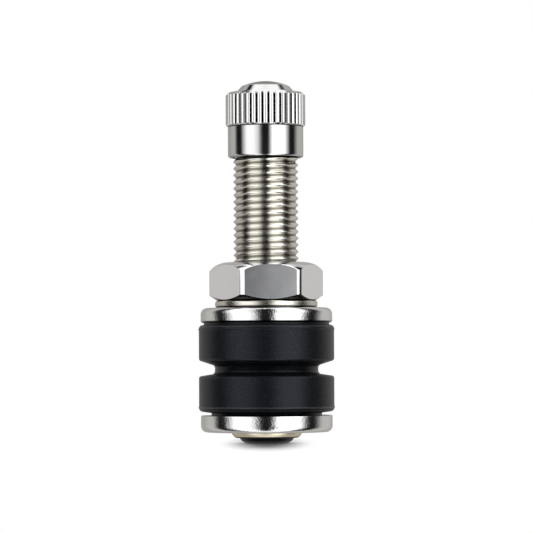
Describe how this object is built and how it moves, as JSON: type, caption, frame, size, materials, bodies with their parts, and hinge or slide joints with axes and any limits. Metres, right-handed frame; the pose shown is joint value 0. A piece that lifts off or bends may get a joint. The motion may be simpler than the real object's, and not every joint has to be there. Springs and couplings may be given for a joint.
{
  "type": "tubeless tyre valve",
  "caption": "Clamp-in tubeless tyre valve with a threaded stem, knurled domed cap, hexagon nut, washers and a grooved rubber rim grommet.",
  "frame": {"origin": "centre of the foot ring's flat underside, on the valve's axis, where the upright valve meets the surface it stands on", "axes": "+Z runs along the valve's axis from the foot to the cap, and -Y is the side that the picture shows"},
  "size_m": [0.0162, 0.0162, 0.0432],
  "materials": {
    "stem_nickel": "polished",
    "cap_chrome": "polished",
    "nut_chrome": "polished",
    "washer_nickel": "satin",
    "washer_zinc": "satin",
    "grommet_rubber": "matte",
    "foot_rubber": "satin",
    "seal_rubber": "matte",
    "packing_polymer": "matte",
    "core_brass": "satin",
    "spring_steel": "polished"
  },
  "bodies": {
    "stem": {"valve_stem": "stem_nickel", "foot_ring": "foot_rubber", "lower_washer": "washer_zinc", "rim_grommet": "grommet_rubber", "upper_washer": "washer_zinc"},
    "cap_seal": {"cap_seal": "seal_rubber"},
    "cap": {"valve_cap": "cap_chrome"},
    "flat_washer": {"flat_washer": "washer_nickel"},
    "nut": {"hex_nut": "nut_chrome"},
    "core_barrel": {"core_barrel": "core_brass", "core_packing": "packing_polymer", "core_spring": "spring_steel"},
    "core_plug": {"core_plug": "core_brass"},
    "pin": {"core_pin": "core_brass", "core_cup": "core_brass", "core_cup_seal": "seal_rubber"}
  },
  "joints": [
    {"name": "cap_travel", "type": "slide", "parent": "stem", "child": "cap_seal", "axis": [0, 0, 1], "range_m": [0, 0.00556]},
    {"name": "cap_turn", "type": "hinge", "parent": "cap_seal", "child": "cap", "pos_m": [0, 0, 0.034], "axis": [0, 0, 1], "range_deg": [0, 2520]},
    {"name": "nut_turn", "type": "hinge", "parent": "stem", "child": "flat_washer", "pos_m": [0, 0, 0.0171], "axis": [0, 0, 1], "range_deg": [0, 5400]},
    {"name": "nut_travel", "type": "slide", "parent": "flat_washer", "child": "nut", "axis": [0, 0, 1], "range_m": [0, 0.01191]},
    {"name": "core_travel", "type": "slide", "parent": "stem", "child": "core_barrel", "axis": [0, 0, 1], "range_m": [0, 0.00282]},
    {"name": "core_turn", "type": "hinge", "parent": "core_barrel", "child": "core_plug", "pos_m": [0, 0, 0.035], "axis": [0, 0, 1], "range_deg": [0, 1440]},
    {"name": "pin_push", "type": "slide", "parent": "core_barrel", "child": "pin", "axis": [0, 0, -1], "range_m": [0, 0.0012], "stiffness_N_per_m": 1200, "springref_m": -0.0015, "deforming": ["core_spring"]}
  ],
  "couplings": [
    {"joint": "cap_turn", "follows": "cap_travel", "rad_per_m": 7915.8},
    {"joint": "nut_turn", "follows": "nut_travel", "rad_per_m": 7915.8},
    {"joint": "core_turn", "follows": "core_travel", "rad_per_m": 8905.3}
  ]
}
